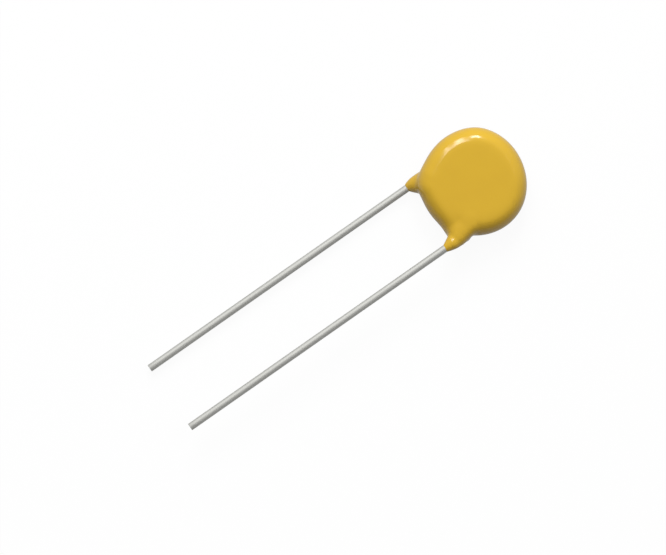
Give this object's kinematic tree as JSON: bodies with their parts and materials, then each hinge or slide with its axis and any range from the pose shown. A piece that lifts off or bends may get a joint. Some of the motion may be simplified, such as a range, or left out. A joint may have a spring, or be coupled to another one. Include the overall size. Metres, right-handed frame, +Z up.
{
  "type": "leaded disc varistor",
  "caption": "Dipped ceramic disc varistor with parallel radial wire leads, for through-hole mounting; clamps voltage surges across a mains line.",
  "frame": {"origin": "middle of the part's box, on the surface it lies on", "axes": "+Z up out of the front face, which the front lead's side of the disc makes; +Y along the leads, from their free ends towards the disc; +X from the back lead towards the front lead"},
  "size_m": [0.0112, 0.0448, 0.0041],
  "materials": {
    "epoxy": "yellow dipped epoxy, glossy",
    "ceramic": "dark grey sintered zinc oxide, matt",
    "silver": "fired silver paste, satin",
    "solder": "soft solder, bright satin",
    "lead": "tinned copper wire, drawn, satin"
  },
  "bodies": {
    "root": {"epoxy_coating": "epoxy", "ceramic_disc": "ceramic", "front_electrode": "silver", "back_electrode": "silver", "front_solder": "solder", "back_solder": "solder", "front_lead": "lead", "back_lead": "lead"}
  },
  "joints": []
}
